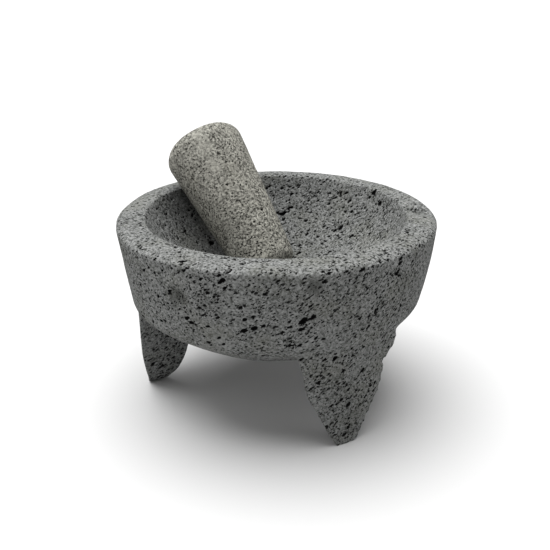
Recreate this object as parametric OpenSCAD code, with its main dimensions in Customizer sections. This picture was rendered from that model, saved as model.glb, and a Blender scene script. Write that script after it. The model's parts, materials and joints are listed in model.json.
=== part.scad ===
// Molcajete: a three-legged mortar carved from one block of vesicular basalt, and its tejolote (pestle).
// The frame has +Z up and its origin on the floor, under the centre of the bowl.

/* [Bowl] */
// Outside diameter over the rim
rim_d = 201; // [150:1:300]
// Width of the flat rim at the sides, from the outside edge to the mouth
rim_t = 18.5; // [12:0.5:24]
// How far the hollow was carved behind the bowl's centre, which leaves the rim wider in front
hollow_back = 2.5; // [0:0.5:4]
// Depth of the hollow at its centre, below the rim
hollow_depth = 56; // [40:1:75]
// Stone left under the deepest point of the hollow
floor_t = 17.5; // [12:0.5:28]
// How far the belly corner stands in from the rim
side_inset = 8; // [2:0.5:20]
// How far the middle of the side swells past a straight line
side_swell = 1.3; // [0.2:0.1:4]
// Height of the belly corner above the underside
belly_rise = 20.5; // [12:0.5:30]
// Diameter of the flat underside
under_d = 125; // [90:1:150]
// Width of the bevel dressed round the rim's outside edge
rim_bevel = 4; // [1:0.5:6]
// Rounding of the bevel's two edges
rim_edge_r = 1.5; // [0.5:0.5:2]
// Rounding of the mouth's edge
mouth_edge_r = 2; // [1:0.5:5]
// Rounding of the belly corner
belly_edge_r = 14; // [4:1:20]
// Rounding where the chamfer meets the underside
under_edge_r = 20; // [4:1:30]

/* [Legs] */
// Clear height under the bowl
leg_h = 48; // [30:1:70]
// Direction of the first leg, in degrees from +X
leg_angle = -61; // [-180:1:180]
// Width of a leg across its outer face, level with the underside
leg_w = 56; // [36:1:64]
// Thickness of a leg from its outer face to its inner ridge, at the underside
leg_t = 33; // [22:1:36]
// Width of the toe that stands on the floor
toe_w = 13; // [8:0.5:20]
// Length of the toe's flat, towards the bowl's axis
toe_t = 5; // [4:0.5:12]
// How far the toe stands in from the belly corner
toe_inset = 6; // [0:0.5:12]
// How far the top of the leg's outer face stands in from the belly corner
leg_inset = 2; // [0.5:0.5:5]

/* [Pestle] */
// Length of the pestle, end to end
pestle_len = 106.5; // [90:0.5:150]
// Diameter at the shoulder of the thick end
pestle_top_d = 55.5; // [40:0.5:64]
// Diameter of the narrow end, as if its edge were sharp
pestle_tip_d = 38; // [28:0.5:44]
// Drop from the crown to the shoulder of the thick end
crown_drop = 4.5; // [4:0.5:12]
// Rounding of the shoulder
shoulder_r = 11; // [5:0.5:16]
// Rounding of the narrow end
tip_edge_r = 8; // [4:0.5:14]
// Lean of the pestle from upright, as it rests in the bowl
lean = 44; // [40:1:52]
// Direction in which it leans, in degrees from +X
lean_angle = 133; // [-180:0.5:180]
// Gap left between the resting pestle and the bowl
rest_gap = 0.3; // [0.1:0.1:1]

/* [Hidden] */

LEGS = 3;
CUT = 1;            // how far a cutting shape runs past a face
ARC_STEPS = 10;     // straight steps in a rounded corner of an outline
LEG_LEVELS = 10;    // horizontal sections in a leg
FACE_STEPS = 8;     // steps across a leg's outer face
WIDTH_POWER = 0.77; // how fast a leg widens above its toe: 1 is a straight taper
RIDGE_SHARE = 0.22; // width of a leg's inner ridge, as a share of its outer face
BEVEL_FALL = 0.65;  // how far the rim's bevel drops, as a share of its width

rim_r = rim_d / 2;
mouth_r = rim_r - rim_t;
under_z = leg_h;
belly_z = leg_h + belly_rise;
belly_r = rim_r - side_inset;
top_z = leg_h + floor_t + hollow_depth;

// The hollow is part of a sphere through the mouth and the deepest point, about an axis of its own.
hollow_place = [0, hollow_back, 0];
hollow_r = (mouth_r * mouth_r + hollow_depth * hollow_depth) / (2 * hollow_depth);
hollow_z = top_z - hollow_depth + hollow_r;

// Centre of the round edge of the mouth: it touches the rim's flat top and the hollow.
edge_z = top_z - mouth_edge_r;
edge_r = sqrt(pow(hollow_r + mouth_edge_r, 2) - pow(hollow_z - edge_z, 2));
edge_touch = [edge_r, edge_z - hollow_z] * hollow_r / (hollow_r + mouth_edge_r) + [0, hollow_z];

// The pestle leans in an upright plane through the hollow's axis, worked out here as [radius, height].
pestle_dir = [sin(lean), cos(lean)];
pestle_side = [cos(lean), -sin(lean)];
taper = atan((pestle_top_d - pestle_tip_d) / 2 / (pestle_len - crown_drop));
// Its lower side touches the round edge of the mouth, and the round edge of its tip touches the hollow.
side_normal = pestle_side * cos(taper) - pestle_dir * sin(taper);
side_down = -(pestle_dir * cos(taper) + pestle_side * sin(taper));
hollow_centre = [0, hollow_z];
reach = ([edge_r, edge_z] - hollow_centre) * side_normal - (mouth_edge_r + rest_gap + tip_edge_r);
swing = hollow_r - tip_edge_r - rest_gap;
tip_edge = hollow_centre + reach * side_normal + sqrt(swing * swing - reach * reach) * side_down;
tip_edge_side = pestle_tip_d / 2 + tip_edge_r * tan(taper) - tip_edge_r / cos(taper);
pestle_tip = tip_edge - tip_edge_r * pestle_dir - tip_edge_side * pestle_side;

// One corner of an outline, rounded to radius r between its neighbours a and b.
function corner(a, p, b, r) =
    r == 0 ? [p] :
    let (u = (a - p) / norm(a - p),
         v = (b - p) / norm(b - p),
         half = acos(u * v) / 2,
         centre = p + (u + v) / norm(u + v) * r / sin(half),
         from = p + u * r / tan(half) - centre,
         to = p + v * r / tan(half) - centre,
         start = atan2(from.y, from.x),
         turn = atan2(from.x * to.y - from.y * to.x, from * to))
    [for (i = [0 : ARC_STEPS])
        centre + r * [cos(start + turn * i / ARC_STEPS), sin(start + turn * i / ARC_STEPS)]];

// A closed outline from a list of [x, y, rounding].
function rounded(list) =
    let (n = len(list))
    [for (i = [0 : n - 1])
        let (a = list[(i + n - 1) % n], p = list[i], b = list[(i + 1) % n])
        each corner([a.x, a.y], [p.x, p.y], [b.x, b.y], p.z)];

// Half of a leg's width, and its thickness, at a height.
function leg_half(z) = toe_w / 2 + (leg_w - toe_w) / 2 * pow(z / leg_h, WIDTH_POWER);
function leg_deep(z) = toe_t + (leg_t - toe_t) * sqrt(1 - pow(1 - min(z / leg_h, 1), 2));
function leg_outer(z) = belly_r - toe_inset + (toe_inset - leg_inset) * z / belly_z;

// A leg's horizontal section, seen from above, for a leg along +X.
function leg_section(z) =
    let (face = leg_outer(z),
         spread = asin(leg_half(z) / face),
         ridge = face - leg_deep(z),
         ridge_half = leg_half(z) * RIDGE_SHARE)
    concat(
        [for (i = [0 : FACE_STEPS])
            let (a = spread * (2 * i / FACE_STEPS - 1)) [face * cos(a), face * sin(a), z]],
        [[ridge, ridge_half, z], [ridge, -ridge_half, z]]);

module leg() {
    // Levels crowd towards the toe, where the shape turns fastest.
    levels = [for (i = [0 : LEG_LEVELS]) belly_z * pow(i / LEG_LEVELS, 2)];
    n = FACE_STEPS + 3;
    points = [for (z = levels) each leg_section(z)];
    sides = [for (i = [0 : LEG_LEVELS - 1], j = [0 : n - 1])
        let (a = i * n + j, b = i * n + (j + 1) % n)
        each [[a, a + n, b], [b, a + n, b + n]]];
    toe = [for (j = [0 : n - 1]) j];
    root = [for (j = [n - 1 : -1 : 0]) LEG_LEVELS * n + j];
    polyhedron(points = points, faces = concat([toe, root], sides));
}

module bowl_block() {
    bevel_z = top_z - rim_bevel * BEVEL_FALL;
    side_mid = [(rim_r + belly_r) / 2 + side_swell, (bevel_z + belly_z) / 2];
    rotate_extrude($fn = 96)
        polygon(rounded([
            [0, under_z, 0],
            [under_d / 2, under_z, under_edge_r],
            [belly_r, belly_z, belly_edge_r],
            [side_mid.x, side_mid.y, rim_d],
            [rim_r, bevel_z, rim_edge_r],
            [rim_r - rim_bevel, top_z, rim_edge_r],
            [0, top_z, 0]]));
}

module hollow() {
    translate([0, 0, hollow_z]) sphere(r = hollow_r, $fn = 96);
    // The sharp lip between the rim's top and the hollow
    rotate_extrude($fn = 96)
        polygon([
            [edge_r, edge_z],
            [edge_r, top_z + CUT],
            [edge_touch.x - CUT, top_z + CUT],
            [edge_touch.x - CUT, edge_touch.y],
            edge_touch]);
}

module mortar() {
    color([0.37, 0.38, 0.39])
    union() {
        difference() {
            bowl_block();
            translate(hollow_place) hollow();
        }
        // The round edge of the mouth
        translate(hollow_place)
            rotate_extrude($fn = 96)
            translate([edge_r, edge_z]) circle(r = mouth_edge_r, $fn = 48);
        for (i = [0 : LEGS - 1])
            rotate([0, 0, leg_angle + i * 360 / LEGS]) leg();
    }
}

module pestle() {
    top_r = pestle_top_d / 2;
    color([0.47, 0.46, 0.42])
    translate(hollow_place)
        rotate([0, 0, lean_angle])
        translate([pestle_tip.x, 0, pestle_tip.y])
        rotate([0, lean, 0])
        rotate_extrude($fn = 96)
            polygon(rounded([
                [0, 0, 0],
                [pestle_tip_d / 2, 0, tip_edge_r],
                [top_r, pestle_len - crown_drop, shoulder_r],
                [top_r * 0.4, pestle_len, top_r],
                [0, pestle_len, 0]]));
}

mortar();
pestle();
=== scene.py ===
# %% [markdown]
# # A molcajete and its tejolote
#
# A molcajete is a mortar with three legs, carved from one block of vesicular basalt: lava full of gas
# bubbles. The tejolote is its pestle, a tapered hand stone. Both shapes are settled in the CAD model, so
# this lesson is about stone: how a smooth solid becomes something that a chisel has dressed and that
# bubbles have left full of holes.
#
# Two ways are open for the holes. A bump or colour pattern is cheap, but it vanishes at the outline and
# isn't in the mesh. Real pits cost triangles, but they catch light and break the edge as the stone does.
# Here the bubbles wide enough to see are real pits, cut by Geometry Nodes, and the finest ones are left to
# the material. Both read the same bubble pattern, so the shade painted inside a hole always lies in the
# hole.

# %% Load the frame
import json
import math
import bpy
from mathutils import Euler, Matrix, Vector

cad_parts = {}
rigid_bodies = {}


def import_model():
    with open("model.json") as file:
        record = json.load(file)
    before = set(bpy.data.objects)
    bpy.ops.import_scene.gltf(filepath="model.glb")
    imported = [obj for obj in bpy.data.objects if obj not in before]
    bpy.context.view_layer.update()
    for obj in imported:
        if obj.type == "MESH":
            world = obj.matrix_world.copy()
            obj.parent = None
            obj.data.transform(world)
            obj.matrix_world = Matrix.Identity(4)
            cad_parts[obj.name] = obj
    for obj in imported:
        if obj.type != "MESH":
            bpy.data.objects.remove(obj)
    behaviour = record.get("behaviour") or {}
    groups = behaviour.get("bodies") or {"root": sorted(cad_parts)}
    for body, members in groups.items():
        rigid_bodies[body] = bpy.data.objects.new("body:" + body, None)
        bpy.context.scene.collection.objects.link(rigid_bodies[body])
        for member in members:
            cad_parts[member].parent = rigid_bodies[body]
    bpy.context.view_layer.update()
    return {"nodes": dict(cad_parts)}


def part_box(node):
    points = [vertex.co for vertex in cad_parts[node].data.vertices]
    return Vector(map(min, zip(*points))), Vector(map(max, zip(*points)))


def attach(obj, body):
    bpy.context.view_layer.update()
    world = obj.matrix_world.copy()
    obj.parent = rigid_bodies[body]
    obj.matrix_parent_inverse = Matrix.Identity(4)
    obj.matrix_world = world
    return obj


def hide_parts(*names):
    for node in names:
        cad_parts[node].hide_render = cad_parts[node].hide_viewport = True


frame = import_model()
RIM_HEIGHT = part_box("mortar")[1].z

# %% [markdown]
# ## Camera
#
# The camera looks down at the bowl from the front, far enough for gentle perspective, so that the mouth
# shows as an open ellipse and the outside of the bowl is still seen nearly square on. It is placed by the
# rim, the part of the object that the eye reads first, and it has no shift and no depth of field.

# %% Camera
CAMERA_BACK = 0.475         # from the bowl's axis
CAMERA_ABOVE_RIM = 0.1539
CAMERA_PITCH = 22.57        # degrees below level
CAMERA_LENS = 52.1          # mm, on a 36 mm sensor

camera_data = bpy.data.cameras.new("camera")
camera_data.lens = CAMERA_LENS
camera_data.sensor_width = 36
camera = bpy.data.objects.new("camera", camera_data)
camera.location = (0, -CAMERA_BACK, RIM_HEIGHT + CAMERA_ABOVE_RIM)
camera.rotation_euler = (math.radians(90 - CAMERA_PITCH), 0, 0)
bpy.context.scene.collection.objects.link(camera)
bpy.context.scene.camera = camera
print("Camera height:", round(camera.location.z, 4))

# %% [markdown]
# ## Studio
#
# Stone wants soft light from above with darker sides: the top of the rim then reads as a bright ring and
# the legs turn dark underneath, which is what shows the form. A wide sun is even over the whole floor, so
# the floor stays one pale tone up to the horizon, where an area light would fade. The floor is a light grey
# that strong light from above makes pale. A white floor would look the same, but it throws so much light
# back up that the undersides go flat.

# %% Studio
FLOOR_SIZE = 40.0
FLOOR_COLOUR = (0.48, 0.48, 0.48, 1)
SKY_STRENGTH = 0.30

bpy.ops.mesh.primitive_plane_add(size=FLOOR_SIZE, location=(0, 0, 0))
floor = bpy.context.object
floor.name = "floor"
floor_paint = bpy.data.materials.new("pale_floor")
floor_paint.use_nodes = True
floor_shader = floor_paint.node_tree.nodes["Principled BSDF"]
floor_shader.inputs["Base Color"].default_value = FLOOR_COLOUR
floor_shader.inputs["Roughness"].default_value = 0.9
floor.data.materials.append(floor_paint)

sky = bpy.data.worlds.new("soft_studio")
sky.use_nodes = True
sky.node_tree.nodes["Background"].inputs["Color"].default_value = (1, 1, 1, 1)
sky.node_tree.nodes["Background"].inputs["Strength"].default_value = SKY_STRENGTH
bpy.context.scene.world = sky
bpy.context.scene.view_settings.view_transform = "Standard"


def sun(name, strength, softness, toward):
    """A sun whose light travels along `toward`, with a soft edge of `softness` degrees."""
    light = bpy.data.lights.new(name, "SUN")
    light.energy = strength
    light.angle = math.radians(softness)
    lamp = bpy.data.objects.new(name, light)
    lamp.rotation_euler = Vector(toward).to_track_quat("-Z", "Y").to_euler()
    bpy.context.scene.collection.objects.link(lamp)
    return lamp


sun("overhead", 6.1, 62, (0.13, -0.15, -1))
sun("from_the_left", 0.75, 60, (1, 0.3, -0.7))
sun("from_the_right", 0.55, 60, (-1, 0, -0.5))

# %% [markdown]
# ## Working on a copy
#
# The CAD nodes are the exact blocks and are never changed. Each stone starts as a copy of its node, and the
# copy takes the CAD node's place in the picture. The CAD mesh is loose triangles of very uneven size, so
# the copy is merged first and then remeshed into even small squares, because pits and dents need points to
# move wherever they fall.

# %% Pick and copy
MM = 0.001


def pick(ob):
    """Makes `ob` the only selected object and the active one."""
    bpy.ops.object.select_all(action="DESELECT")
    ob.select_set(True)
    bpy.context.view_layer.objects.active = ob


def block_from(node, name):
    """A merged copy of a CAD node, with no material."""
    pick(frame["nodes"][node])
    bpy.ops.object.duplicate()
    block = bpy.context.object
    block.name = name
    block.data.name = name
    block.data.materials.clear()
    bpy.ops.object.parent_clear(type="CLEAR_KEEP_TRANSFORM")
    bpy.ops.object.mode_set(mode="EDIT")
    bpy.ops.mesh.select_all(action="SELECT")
    bpy.ops.mesh.remove_doubles(threshold=0.001 * MM)
    bpy.ops.object.mode_set(mode="OBJECT")
    return block


print("CAD nodes to copy:", sorted(frame["nodes"]))

# %% Modify and push


def finish_with(ob, kind, **settings):
    """Adds a modifier and applies it."""
    pick(ob)
    step = ob.modifiers.new(kind.lower(), kind)
    for name, value in settings.items():
        setattr(step, name, value)
    bpy.ops.object.modifier_apply(modifier=step.name)
    print(f"{ob.name}: {kind.lower()} gives {len(ob.data.polygons)} faces")


def push(ob, place, radius, move):
    """Moves the skin round `place` by `move`, fading out at `radius`, all in millimetres."""
    pick(ob)
    bpy.ops.object.mode_set(mode="EDIT")
    bpy.ops.mesh.select_mode(type="VERT")
    bpy.ops.mesh.select_all(action="DESELECT")
    bpy.ops.object.mode_set(mode="OBJECT")
    target = Vector(place) * MM
    nearest = min(ob.data.vertices, key=lambda point: (point.co - target).length_squared)
    nearest.select = True
    bpy.ops.object.mode_set(mode="EDIT")
    bpy.ops.transform.translate(
        value=Vector(move) * MM,
        use_proportional_edit=True,
        proportional_edit_falloff="SMOOTH",
        proportional_size=radius * MM,
    )
    bpy.ops.object.mode_set(mode="OBJECT")


print("Mesh helpers:", finish_with.__name__, push.__name__)

# %% [markdown]
# ## The mortar's block
#
# No hand-carved bowl is true. This one was cut leaner on its left flank, its left leg stands in a little,
# its front leg was left fuller than the others, the rim is a shade flat at the back left with a groove
# across it at the right, and a few flakes came off where the chisel slipped. Each is a proportional push in
# edit mode, which moves a patch of skin and fades out smoothly. The pushes come before the mesh gets fine,
# because they're quick on a coarse mesh and can't leave creases. Nearly all go inwards, because a chisel
# only takes stone away.

# %% Mortar: block and hand-carved unevenness
MORTAR_GRID = 1.4 * MM

mortar = block_from("mortar", "molcajete_stone")
finish_with(mortar, "REMESH", mode="VOXEL", voxel_size=MORTAR_GRID)

CUTS = [                                  # place, radius, move
    ((-94, 0, 58), 34, (2.4, 0.4, 0)),      # left leg's shoulder stands in
    ((-84, 3, 6), 30, (0.4, 2.4, 0)),       # and its toe is set back
    ((-98, -10, 96), 52, (3.0, 0.5, 0)),    # left flank cut leaner
    ((-97, 26, 120), 34, (1.4, -0.5, 0)),   # flat stretch of rim, back left
    ((44, -74, 4), 26, (1.2, 1.4, 0)),      # front toe trimmed
    ((62, -58, 30), 22, (1.3, -0.5, 0)),    # front leg fuller on its right
    ((68, -56, 61), 13, (3.4, 1.4, 0)),     # and fuller still at its root
    ((64, -62, 50), 5, (-1.8, 0.9, 0)),     # with a flake off below that
    ((21, -86, 38), 20, (-2.4, 0.4, 0)),    # front leg fuller on its left
    ((-53, -82, 99), 8, (1.9, 2.8, 0)),     # chisel slips in the side
    ((21, -97, 111), 8, (-0.3, 1.7, 0)),
    ((85, 7, 121), 7, (0, 0, -1.9)),        # groove across the rim, right
    ((89, 2, 121), 7, (0, 0, -1.9)),
    ((92, -3, 121), 6, (0, 0, -1.4)),
]
for place, radius, move in CUTS:
    push(mortar, place, radius, move)
print("Pushes made:", len(CUTS))

# %% [markdown]
# ## Nodes by the handful
#
# The bubbles are needed twice, as pits in the mesh and as darkness in the material. Geometry Nodes and
# shader nodes are two kinds of tree, but they share their noise, Voronoi and math nodes, and those give the
# same numbers in both. So each pattern is written once, as a function that builds a node group of either
# kind.

# %% Helpers for node trees
GROUP_NODE = {"ShaderNodeTree": "ShaderNodeGroup", "GeometryNodeTree": "GeometryNodeGroup"}
TREES = tuple(GROUP_NODE)


def put(tree, kind, inputs=None, **settings):
    """Adds a node. A socket given as an input is linked, and anything else is set as its value."""
    node = tree.nodes.new(kind)
    for name, value in settings.items():
        setattr(node, name, value)
    for name, value in (inputs or {}).items():
        if isinstance(value, bpy.types.NodeSocket):
            tree.links.new(value, node.inputs[name])
        else:
            node.inputs[name].default_value = value
    return node


def maths(tree, operation, *values):
    """The result of a Math node."""
    return put(tree, "ShaderNodeMath", dict(enumerate(values)), operation=operation).outputs[0]


def vector_maths(tree, operation, *values):
    """The vector that a Vector Math node gives."""
    return put(tree, "ShaderNodeVectorMath", dict(enumerate(values)), operation=operation).outputs[0]


def fade(tree, value, low, high):
    """0 at `low` and 1 at `high`, with a soft step between them."""
    inputs = {"Value": value, "From Min": low, "From Max": high}
    return put(tree, "ShaderNodeMapRange", inputs, interpolation_type="SMOOTHSTEP").outputs[0]


def distance_from(tree, place, centre):
    """The distance of a place from a fixed centre."""
    return put(tree, "ShaderNodeVectorMath", {0: place, 1: centre}, operation="DISTANCE").outputs["Value"]


MIX_COLOURS = (6, 7)             # a Mix node's two colour inputs
MIXED = 2                        # and its colour output


def blend(tree, amount, first, second):
    """A mix of two colours."""
    mix = put(tree, "ShaderNodeMix", {0: amount}, data_type="RGBA")
    for socket, value in zip((mix.inputs[i] for i in MIX_COLOURS), (first, second)):
        if isinstance(value, bpy.types.NodeSocket):
            tree.links.new(value, socket)
        else:
            socket.default_value = value
    return mix.outputs[MIXED]


def new_group(name, kind, inputs, outputs):
    """An empty node group with its input and output nodes. Sockets are (name, type) pairs."""
    tree = bpy.data.node_groups.new(name, kind)
    for socket, what in inputs:
        tree.interface.new_socket(socket, in_out="INPUT", socket_type="NodeSocket" + what)
    for socket, what in outputs:
        tree.interface.new_socket(socket, in_out="OUTPUT", socket_type="NodeSocket" + what)
    return tree, tree.nodes.new("NodeGroupInput"), tree.nodes.new("NodeGroupOutput")


def use(tree, group, inputs):
    """Places a node group in a tree."""
    return put(tree, GROUP_NODE[tree.bl_idname], inputs, node_tree=group)


print("Kinds of tree:", TREES)

# %% [markdown]
# ## Bubbles
#
# A gas bubble is a ragged ball that the rock froze round, drawn out a little the way the lava flowed. A
# Voronoi pattern has one point in every cell, so a ball round each point, of random size and not in every
# cell, is a field of bubbles. Where the stone's surface cuts through one, it leaves a round-bottomed pit,
# as deep as the ball is under the surface there. Noise that shifts the pattern makes the balls ragged, and
# squeezing the pattern along the flow draws them out. Gas also gathers, so a broad noise read at each
# bubble's own centre makes them crowd in some places and thin out in others, and a few pockets are listed
# where they crowd most. Several sizes of bubble, each its own layer, make it read as basalt and not as
# a sponge.

# %% Flow
FLOW_TURN = (0, math.radians(35), 0)    # the flow climbs towards +X
FLOW_SQUEEZE = (0.5, 0.85, 1)           # below 1 draws the bubbles out, most of all along the flow
FLOW = Euler(FLOW_TURN).to_matrix()


def along_flow(tree, place):
    """A place turned to the flow and squeezed along it, where drawn-out bubbles are round."""
    inputs = {"Vector": place, "Rotation": FLOW_TURN}
    turned = put(tree, "ShaderNodeVectorRotate", inputs, rotation_type="EULER_XYZ").outputs[0]
    return vector_maths(tree, "MULTIPLY", turned, FLOW_SQUEEZE)


def flowed(place):
    """A fixed place in millimetres, turned and squeezed as `along_flow` does, in metres."""
    return (FLOW @ Vector(place)) * Vector(FLOW_SQUEEZE) * MM


print("Bubbles are drawn out by:", [round(1 / share, 2) for share in FLOW_SQUEEZE])

# %% Bubble pattern
RAGGED_WAVES = 1.6               # waves of the noise that makes a bubble ragged, in one cell
CROWD_SIZE = 34 * MM             # spacing of the places where bubbles crowd
CROWD_NOISE = (0.3, 0.7)         # over this range of the noise, the share of cells that hold a bubble
CROWD_SHARE = (0.35, 1.65)       # is multiplied by a factor in this range
GAS_POCKETS = [                  # place and radius across the flow, in millimetres
    ((40, 62, 100), 42),
    ((62, -66, 92), 22),
    ((-30, -86, 112), 18),
    ((0, -92, 76), 16),
    ((-80, -30, 121), 20),
    ((80, -30, 121), 18),
    ((88, 4, 121), 8),
    ((72, 15, 100), 26),
    ((46, -76, 20), 22),
]
POCKET_SHARE = 0.75              # how much a gas pocket adds to that factor
POCKET_CORE = 0.4                # share of a pocket's radius that has all of it


def crowding_at(tree, centre):
    """How many times the usual share of bubbles there is at a bubble's centre."""
    inputs = {"Vector": centre, "Scale": 1 / CROWD_SIZE, "Detail": 1.0}
    crowd = put(tree, "ShaderNodeTexNoise", inputs).outputs[0]
    inputs = {"Value": crowd, "From Min": CROWD_NOISE[0], "From Max": CROWD_NOISE[1]}
    inputs.update({"To Min": CROWD_SHARE[0], "To Max": CROWD_SHARE[1]})
    crowding = put(tree, "ShaderNodeMapRange", inputs).outputs[0]
    for middle, radius in GAS_POCKETS:
        away = distance_from(tree, centre, flowed(middle))
        gathered = fade(tree, away, radius * MM, POCKET_CORE * radius * MM)
        crowding = maths(tree, "ADD", crowding, maths(tree, "MULTIPLY", gathered, POCKET_SHARE))
    return crowding


def shifted(tree, place, waves, detail, reach):
    """A place moved by noise with `waves` a metre, by up to half of `reach` each way."""
    noise = put(tree, "ShaderNodeTexNoise", {"Vector": place, "Scale": waves, "Detail": detail})
    shift = vector_maths(tree, "SUBTRACT", noise.outputs["Color"], (0.5, 0.5, 0.5))
    moved = put(tree, "ShaderNodeVectorMath", {0: shift, "Scale": reach}, operation="SCALE")
    return vector_maths(tree, "ADD", place, moved.outputs[0])


def depth_squared(tree, radius_squared, distance):
    """The square of a ball's depth at a distance from its centre. Outside the ball it is below 0."""
    return maths(tree, "SUBTRACT", radius_squared, maths(tree, "MULTIPLY", distance, distance))


def bubble_group(kind):
    """A node group: the depth of the pit that bubbles of one size leave at a place, in metres."""
    numbers = ["Cell", "Share", "Smallest", "Largest", "Raggedness"]
    sockets = [("Place", "Vector")] + [(name, "Float") for name in numbers]
    tree, given, result = new_group("bubbles", kind, sockets, [("Depth", "Float")])
    cell = given.outputs["Cell"]
    per_metre = maths(tree, "DIVIDE", 1.0, cell)
    waves = maths(tree, "MULTIPLY", per_metre, RAGGED_WAVES)
    reach = maths(tree, "MULTIPLY", given.outputs["Raggedness"], cell)
    ragged = shifted(tree, given.outputs["Place"], waves, 1.0, reach)
    inputs = {"Vector": along_flow(tree, ragged), "Scale": per_metre}
    cells = put(tree, "ShaderNodeTexVoronoi", inputs, voronoi_dimensions="3D")
    chance = put(tree, "ShaderNodeSeparateXYZ", {0: cells.outputs["Color"]})
    share = maths(tree, "MULTIPLY", given.outputs["Share"], crowding_at(tree, cells.outputs["Position"]))
    kept = maths(tree, "LESS_THAN", chance.outputs[0], share)
    inputs = {"To Min": given.outputs["Smallest"], "To Max": given.outputs["Largest"]}
    inputs["Value"] = chance.outputs[1]
    radius = maths(tree, "MULTIPLY", put(tree, "ShaderNodeMapRange", inputs).outputs[0], kept)
    distance = maths(tree, "MULTIPLY", cells.outputs["Distance"], cell)
    square = depth_squared(tree, maths(tree, "MULTIPLY", radius, radius), distance)
    depth = maths(tree, "SQRT", maths(tree, "MAXIMUM", square, 0.0))
    tree.links.new(depth, result.inputs["Depth"])
    return tree


bubbles = {kind: bubble_group(kind) for kind in TREES}
print("Nodes in the bubble pattern:", len(bubbles["ShaderNodeTree"].nodes))

# %% [markdown]
# ## Lone holes
#
# A few holes are much wider than the rest, where two or three bubbles ran together. An even pattern never
# makes them, so they are listed one by one: a place on the stone and a radius. Each is a ragged ball like the
# others.

# %% Lone holes
LONE_HOLES = [                  # place and radius across the flow, in millimetres
    ((68, -73, 110), 1.7),
    ((67, 48, 119), 1.5),
    ((6, 70, 97), 1.4),
    ((-43, 39, 86), 1.6),
    ((-28, -96, 114), 1.4),
    ((-49, -88, 116), 1.2),
    ((15, -96, 91), 1.7),
    ((20, -95, 93), 1.4),
    ((-78, -50, 72), 1.5),
    ((43, -77, 28), 1.3),
    ((42, -76, 7), 1.2),
    ((82, -48, 96), 1.5),
    ((34, -84, 62), 1.4),
    ((-17, -94, 84), 1.3),
    ((-31, -92, 91), 1.1),
    ((-48, -83, 87), 1.3),
]
LONE_RAGGEDNESS = 2.6 * MM
LONE_WAVES = 300.0               # waves of the noise that makes them ragged, in a metre


def lone_hole_group(kind):
    """A node group: the depth of the pits that the lone holes leave at a place, in metres."""
    tree, given, result = new_group("lone_holes", kind, [("Place", "Vector")], [("Depth", "Float")])
    ragged = shifted(tree, given.outputs["Place"], LONE_WAVES, 2.0, LONE_RAGGEDNESS)
    drawn_out = along_flow(tree, ragged)
    deepest = 0.0
    for place, radius in LONE_HOLES:
        away = distance_from(tree, drawn_out, flowed(place))
        square = depth_squared(tree, (radius * MM) ** 2, away)
        deepest = maths(tree, "MAXIMUM", square, deepest)
    tree.links.new(maths(tree, "SQRT", deepest), result.inputs["Depth"])
    return tree


lone_holes = {kind: lone_hole_group(kind) for kind in TREES}
print("Lone holes:", len(LONE_HOLES))

# %% Layers of bubbles
RAGGEDNESS = 0.55                # how far noise shifts a bubble's skin, in cells


def pits(tree, place, layers, holes=False):
    """The deepest pit that any of the bubble layers leaves at a place."""
    deepest = 0.0
    for sizes in layers:
        depth = use(tree, bubbles[tree.bl_idname], {"Place": place, **sizes}).outputs["Depth"]
        deepest = maths(tree, "MAXIMUM", depth, deepest)
    if holes:
        depth = use(tree, lone_holes[tree.bl_idname], {"Place": place}).outputs["Depth"]
        deepest = maths(tree, "MAXIMUM", depth, deepest)
    return deepest


def layer(cell, share, smallest, largest):
    """One size of bubble: spacing, share of cells that hold one, and radii, in millimetres."""
    sizes = {"Cell": cell * MM, "Smallest": smallest * MM, "Largest": largest * MM}
    return {**sizes, "Share": share, "Raggedness": RAGGEDNESS}


MORTAR_PITS = [
    layer(4.7, 0.44, 0.62, 1.3),
    layer(3.0, 0.68, 0.42, 0.95),
]
MORTAR_FINEST = [
    layer(1.9, 0.75, 0.34, 0.66),
    layer(1.2, 0.65, 0.24, 0.44),
]
PESTLE_PITS = [
    layer(3.4, 0.12, 0.4, 0.8),
]
PESTLE_FINEST = [
    layer(1.7, 0.45, 0.28, 0.52),
    layer(1.1, 0.60, 0.22, 0.42),
]
print("Layers cut in the mortar and the pestle:", len(MORTAR_PITS), len(PESTLE_PITS))

# %% [markdown]
# ## Dressing and pitting
#
# The mason dresses the outside with a pointed hammer, which leaves shallow waves, and the bubbles it cuts
# open are the pits. Both are done by one Geometry Nodes step: it sinks each point along its normal by the
# wave, writes down where the point is then in an attribute called uncut, and sinks it again by the depth of
# the pit. A ray measures how thick the stone is there, and the pit takes no more than a share of that, so
# it can't come out on the far side of a leg's thin edge. The material reads its bubbles at uncut, the place
# of the stone before the pit was opened, so the two patterns can't drift apart. Nothing is raised, and the
# soles of the toes are left alone, so the stone still stands where the CAD does.

# %% Dressing and pitting
UNCUT = "uncut"
TOE_SOLE = 0.6 * MM              # height below which the stone isn't touched
TOE_BLEND = 5 * MM
RAY_START = 0.05 * MM            # how far under the skin the thickness is measured from
RAY_LENGTH = 300 * MM
DEEPEST_SHARE = 0.35             # of the thickness: a pit in a leg's edge mustn't come out on its far side
WAVE_DETAIL = {"Detail": 4.0, "Roughness": 0.62}


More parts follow.
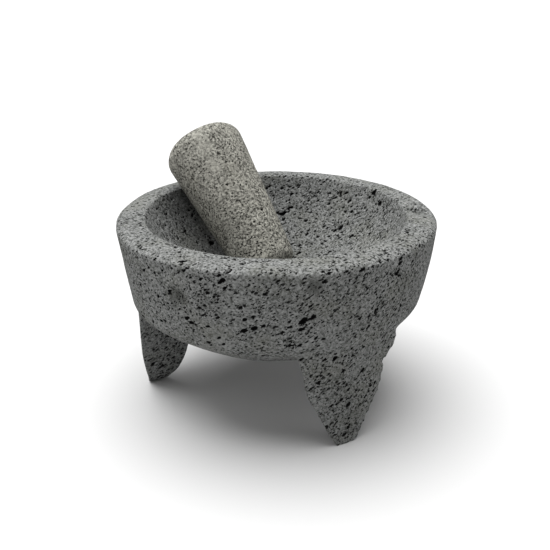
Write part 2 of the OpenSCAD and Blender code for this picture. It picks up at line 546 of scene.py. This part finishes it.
def depth_allowed(tree, geometry, place, normal):
    """The deepest that a pit may be: a share of the stone's thickness, or 0 where no far side is found."""
    inward = vector_maths(tree, "MULTIPLY", normal, (-1.0, -1.0, -1.0))
    start = vector_maths(tree, "MULTIPLY_ADD", normal, (-RAY_START, -RAY_START, -RAY_START), place)
    inputs = {"Target Geometry": geometry, "Source Position": start, "Ray Direction": inward}
    ray = put(tree, "GeometryNodeRaycast", {**inputs, "Ray Length": RAY_LENGTH})
    inputs = {0: ray.outputs["Hit Normal"], 1: inward}
    far_side = put(tree, "ShaderNodeVectorMath", inputs, operation="DOT_PRODUCT").outputs["Value"]
    inside = maths(tree, "GREATER_THAN", far_side, 0.0)
    share = maths(tree, "MULTIPLY", ray.outputs["Hit Distance"], DEEPEST_SHARE)
    return maths(tree, "MULTIPLY", share, inside)


def carve(ob, name, wave, wave_length, layers, holes=False, sole=True):
    """Sinks waves and pits into a stone with a Geometry Nodes modifier, and applies it."""
    sockets = [("Geometry", "Geometry")]
    tree, given, result = new_group(name, "GeometryNodeTree", sockets, sockets)
    place = tree.nodes.new("GeometryNodeInputPosition").outputs[0]
    normal = tree.nodes.new("GeometryNodeInputNormal").outputs[0]
    allowed = 1.0
    if sole:
        height = put(tree, "ShaderNodeSeparateXYZ", {0: place}).outputs[2]
        allowed = fade(tree, height, TOE_SOLE, TOE_BLEND)

    def sink(geometry, depth):
        inward = maths(tree, "MULTIPLY", maths(tree, "MULTIPLY", depth, allowed), -1.0)
        offset = put(tree, "ShaderNodeVectorMath", {0: normal, "Scale": inward}, operation="SCALE").outputs[0]
        return put(tree, "GeometryNodeSetPosition", {"Geometry": geometry, "Offset": offset}).outputs[0]

    inputs = {"Vector": place, "Scale": 1 / wave_length, **WAVE_DETAIL}
    waves = put(tree, "ShaderNodeTexNoise", inputs).outputs[0]
    dressed = sink(given.outputs[0], maths(tree, "MULTIPLY", waves, wave))
    inputs = {"Geometry": dressed, "Name": UNCUT, "Value": place}
    noted = put(tree, "GeometryNodeStoreNamedAttribute", inputs, data_type="FLOAT_VECTOR", domain="POINT")
    deepest = depth_allowed(tree, noted.outputs[0], place, normal)
    depth = maths(tree, "MINIMUM", pits(tree, place, layers, holes), deepest)
    tree.links.new(sink(noted.outputs[0], depth), result.inputs[0])
    finish_with(ob, "NODES", node_group=tree)


finish_with(mortar, "SUBSURF", levels=1, render_levels=1)
carve(mortar, "mortar_carving", wave=0.9 * MM, wave_length=24 * MM, layers=MORTAR_PITS, holes=True)

# %% [markdown]
# ## Thinning the mesh
#
# The even grid has far more squares than it needs between the pits. Decimate takes points away where the
# skin is nearly flat and keeps them where it turns, so the pits stay crisp while the whole stone comes in
# under its budget of triangles.

# %% Thin and smooth
TRIANGLE_BUDGET = 190000
SMOOTH_BELOW = math.radians(60)


def thin(ob):
    """Brings a stone under the triangle budget and shades it smooth, with sharp breaks left sharp."""
    triangles = sum(len(face.vertices) - 2 for face in ob.data.polygons)
    if triangles > TRIANGLE_BUDGET:
        finish_with(ob, "DECIMATE", ratio=TRIANGLE_BUDGET / triangles)
    pick(ob)
    bpy.ops.object.shade_smooth_by_angle(angle=SMOOTH_BELOW)
    print(f"{ob.name}: {len(ob.data.polygons)} faces kept")


thin(mortar)

# %% [markdown]
# ## The pestle
#
# The tejolote is cut from a tighter piece of the same lava, with fine grain and only small bubbles, and
# years of hands have rubbed its skin and worn a flat on its crown. So it gets the same steps with smaller
# numbers: a finer grid, a gentler wave, and one layer of small pits.

# %% Pestle
PESTLE_GRID = 0.9 * MM
WORN_FLAT = ((-68, 54, 147), 16, (1.5, -0.3, -0.4))    # place, radius, move: on the left of the crown

pestle = block_from("pestle", "tejolote_stone")
finish_with(pestle, "REMESH", mode="VOXEL", voxel_size=PESTLE_GRID)
push(pestle, *WORN_FLAT)
finish_with(pestle, "SUBSURF", levels=1, render_levels=1)
carve(pestle, "pestle_carving", wave=0.5 * MM, wave_length=16 * MM, layers=PESTLE_PITS, sole=False)
thin(pestle)

# %% [markdown]
# ## Stone
#
# Basalt is a felt of dark and light mineral grains, each well under a millimetre, so from arm's length it
# is one grey that is never quite even. A flat grey with speckles on it would look like paint. Here the grey
# is mixed from the grains up: crystals of random tone, the clots and lumps that they gather in, broad
# clouds, and a faint olive stain where the block has weathered. All of it lies in the block and not on its
# skin, so every pattern is three-dimensional and reads the uncut place.

# %% Mineral grain
CLOT_GRAINS = 1.6                # size of the clots that grains gather in, in grains
LUMP_GRAINS = 4.0                # size of the lumps that a hammer leaves between the pits
CLOT_EDGE = (0.38, 0.62)         # the noise over which a clot goes from dark to light
STAIN_EDGE = (0.45, 0.7)
STAIN_SHARE = 0.25
TONES = {"crystal": 0.55, "clot": 0.5, "lump": 0.5, "cloud": 0.5}    # what each adds to the tone
LUMP_HEIGHT = 2.0                # of a lump, for a clot's 1


def grain_group():
    """A node group: mineral grain as a colour and a height."""
    colours = [("Dark", "Color"), ("Light", "Color"), ("Stain", "Color")]
    sizes = [("Grain", "Float"), ("Cloud", "Float")]
    sockets = [("Place", "Vector")] + colours + sizes
    results = [("Color", "Color"), ("Height", "Float")]
    tree, given, result = new_group("mineral_grain", "ShaderNodeTree", sockets, results)
    place = given.outputs["Place"]
    grain = given.outputs["Grain"]

    def noise(size, detail, seed=0.0):
        inputs = {"Vector": vector_maths(tree, "ADD", place, (seed, 0, 0)), "Detail": detail}
        inputs.update({"Scale": maths(tree, "DIVIDE", 1.0, size), "Roughness": 0.6})
        return put(tree, "ShaderNodeTexNoise", inputs).outputs[0]

    def share(name, value, middle=0.0):
        return maths(tree, "MULTIPLY", maths(tree, "SUBTRACT", value, middle), TONES[name])

    inputs = {"Vector": place, "Scale": maths(tree, "DIVIDE", 1.0, grain)}
    crystals = put(tree, "ShaderNodeTexVoronoi", inputs, voronoi_dimensions="3D")
    crystal = put(tree, "ShaderNodeSeparateXYZ", {0: crystals.outputs["Color"]}).outputs[0]
    clots = noise(maths(tree, "MULTIPLY", grain, CLOT_GRAINS), 2.0)
    cloud = noise(given.outputs["Cloud"], 3.0)
    lumps = noise(maths(tree, "MULTIPLY", grain, LUMP_GRAINS), 3.0, seed=2.0)
    tone = share("crystal", crystal)
    tone = maths(tree, "ADD", tone, share("clot", fade(tree, clots, *CLOT_EDGE)))
    tone = maths(tree, "ADD", tone, share("lump", lumps, middle=0.5))
    tone = maths(tree, "ADD", tone, share("cloud", cloud, middle=0.5))
    clamped = put(tree, "ShaderNodeClamp", {0: tone}).outputs[0]
    minerals = blend(tree, clamped, given.outputs["Dark"], given.outputs["Light"])
    patches = fade(tree, noise(given.outputs["Cloud"], 3.0, seed=1.0), *STAIN_EDGE)
    stained = maths(tree, "MULTIPLY", patches, STAIN_SHARE)
    tree.links.new(blend(tree, stained, minerals, given.outputs["Stain"]), result.inputs["Color"])
    height = maths(tree, "ADD", clots, maths(tree, "MULTIPLY", lumps, LUMP_HEIGHT))
    tree.links.new(height, result.inputs["Height"])
    return tree


mineral_grain = grain_group()
print("Nodes in the mineral grain:", len(mineral_grain.nodes))

# %% [markdown]
# ## Pale scuffs, painted sheen and painted shade
#
# Where hands or another stone have rubbed it, basalt goes paler, because dust fills the smallest holes. The
# paler streak down from the pestle's crown is painted sheen: the light that its crown catches, put into its
# colour. The dark spots in the chisel dents and along the groove across the rim are painted shade, which the
# soft light leaves too faint there. A painted mask would need an image. A ball round a place is enough here,
# once noise has made its edge uneven.

# %% Spots
RUB_AND_SHEEN = 0.4                        # how far a pale scuff, and the painted sheen on the pestle, go to the light colour
DENT_SHADE = 0.65                    # how far the painted shade in the dents and the rim's groove goes to the dark colour
SPOT_GRAIN = 5 * MM              # size of the patches that make a spot's edge uneven
SPOT_EDGE = (0.05, 0.75)         # over which it fades in, with 0 at its edge and 1 at its centre


def spotted(tree, place, spots):
    """1 near the centre of any spot and 0 outside them. A spot is a place and a radius in millimetres."""
    most = 0.0
    for centre, radius in spots:
        away = distance_from(tree, place, Vector(centre) * MM)
        near = maths(tree, "SUBTRACT", 1.0, maths(tree, "DIVIDE", away, radius * MM))
        most = maths(tree, "MAXIMUM", near, most)
    inputs = {"Vector": place, "Scale": 1 / SPOT_GRAIN, "Detail": 3.0, "Roughness": 0.65}
    patchy = put(tree, "ShaderNodeTexNoise", inputs).outputs[0]
    return fade(tree, maths(tree, "SUBTRACT", maths(tree, "ADD", most, patchy), 0.5), *SPOT_EDGE)


print("A rubbed spot is", RUB_AND_SHEEN, "of the way to light, and a bruised one", DENT_SHADE, "of the way to dark")

# %% [markdown]
# ## Stone
#
# The skin of a pit is out of the light and reads near-black, and that is what makes lava look like lava. The
# pits in the mesh are dark only as far as the lights leave them so, and the finest bubbles aren't in the mesh
# at all, so the material paints shade into both, by the same pattern that cut them, and gives the finest ones
# a bump. Basalt is matt: it is rough all over and has almost no shine.

# %% Stone material
# Painted shade in the pits: over these depths the colour goes to the pit's near-black.
DEEP_SHADE_EDGE = (0.12 * MM, 0.6 * MM)       # pit depths over which the colour goes to the pit's
FINE_SHADE_EDGE = (0.04 * MM, 0.2 * MM)
FINEST_SHADE = 0.95                     # how dark the finest bubbles get
ROUGHNESS = 0.92
SHINE = 0.06
BUMP_STRENGTH = 0.8


def stone(name, dark, light, stain, grain, cloud, coarse, fine, holes, pit_shade_colour, bump, rubbed_and_sheen, painted_dent_shade):
    """A stone material: grain, clouds, pale scuffs, painted sheen, painted shade and bubbles, all read at the
    uncut place.
    """
    paint = bpy.data.materials.new(name)
    paint.use_nodes = True
    tree = paint.node_tree
    shader = tree.nodes["Principled BSDF"]
    uncut = put(tree, "ShaderNodeAttribute", attribute_name=UNCUT, attribute_type="GEOMETRY")
    place = uncut.outputs["Vector"]
    inputs = {"Place": place, "Dark": dark, "Light": light, "Stain": stain, "Grain": grain, "Cloud": cloud}
    minerals = use(tree, mineral_grain, inputs)
    # Paler spots: scuffs on the mortar, painted sheen down from the pestle's crown.
    worn_and_sheen = maths(tree, "MULTIPLY", spotted(tree, place, rubbed_and_sheen), RUB_AND_SHEEN)
    skin = blend(tree, worn_and_sheen, minerals.outputs["Color"], light)
    # Painted shade in the chisel dents and the groove across the rim.
    if painted_dent_shade:
        skin = blend(tree, maths(tree, "MULTIPLY", spotted(tree, place, painted_dent_shade), DENT_SHADE), skin, dark)
    coarse_depth = pits(tree, place, coarse, holes)
    fine_depth = pits(tree, place, fine)
    # Painted shade: the pits in the mesh and the finest bubbles go near-black.
    deep_pit_shade = fade(tree, coarse_depth, *DEEP_SHADE_EDGE)
    fine_pit_shade = fade(tree, fine_depth, *FINE_SHADE_EDGE)
    # Where a spot is paler, less painted shade goes into the finest bubbles.
    fine_shade_share = maths(tree, "SUBTRACT", FINEST_SHADE, worn_and_sheen)
    pit_shade_share = maths(tree, "MAXIMUM", deep_pit_shade, maths(tree, "MULTIPLY", fine_pit_shade, fine_shade_share))
    tree.links.new(blend(tree, pit_shade_share, skin, pit_shade_colour), shader.inputs["Base Color"])
    shader.inputs["Roughness"].default_value = ROUGHNESS
    shader.inputs["Specular IOR Level"].default_value = SHINE
    relief = maths(tree, "SUBTRACT", maths(tree, "MULTIPLY", minerals.outputs["Height"], bump), fine_depth)
    inputs = {"Height": relief, "Distance": 1.0, "Strength": BUMP_STRENGTH}
    tree.links.new(put(tree, "ShaderNodeBump", inputs).outputs[0], shader.inputs["Normal"])
    print(f"{name}: {len(tree.nodes)} nodes")
    return paint


# %% Mortar basalt
mortar_basalt = stone(
    "mortar_basalt",
    dark=(0.050, 0.052, 0.048, 1),
    light=(0.228, 0.232, 0.228, 1),
    stain=(0.115, 0.115, 0.090, 1),
    grain=0.9 * MM,
    cloud=26 * MM,
    coarse=MORTAR_PITS,
    fine=MORTAR_FINEST,
    holes=True,
    # painted shade in the pits
    pit_shade_colour=(0.002, 0.002, 0.002, 1),
    bump=0.8 * MM,
    # pale scuffs in the mortar's stone
    rubbed_and_sheen=[((-28, -89, 74), 9), ((-57, 42, 99), 4)],
    # painted shade in the two chisel dents and along the groove across the rim
    painted_dent_shade=[((-53, -82, 99), 9), ((21, -97, 111), 7), ((85, 8, 121), 6), ((90, 2, 121), 6)],
)
mortar.data.materials.append(mortar_basalt)

# %% Pestle basalt
pestle_basalt = stone(
    "pestle_basalt",
    dark=(0.022, 0.021, 0.018, 1),
    light=(0.355, 0.349, 0.308, 1),
    stain=(0.18, 0.175, 0.145, 1),
    grain=0.95 * MM,
    cloud=20 * MM,
    coarse=PESTLE_PITS,
    fine=PESTLE_FINEST,
    holes=False,
    # painted shade in the pits
    pit_shade_colour=(0.003, 0.003, 0.002, 1),
    bump=0.35 * MM,
    # a paler streak down from the crown, painted sheen
    rubbed_and_sheen=[((-50, 33, 163), 9), ((-45, 27, 156), 9), ((-38, 22, 146), 8)],
    painted_dent_shade=[],
)
pestle.data.materials.append(pestle_basalt)

# %% [markdown]
# ## Riding on the CAD bodies
#
# Each stone rides on its CAD body and takes the place of its CAD node, which is hidden, so the pestle lifts
# out of the bowl when its joint moves.

# %% Ride and replace
for piece, body in ((mortar, "mortar"), (pestle, "pestle")):
    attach(piece, body)
    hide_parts(body)
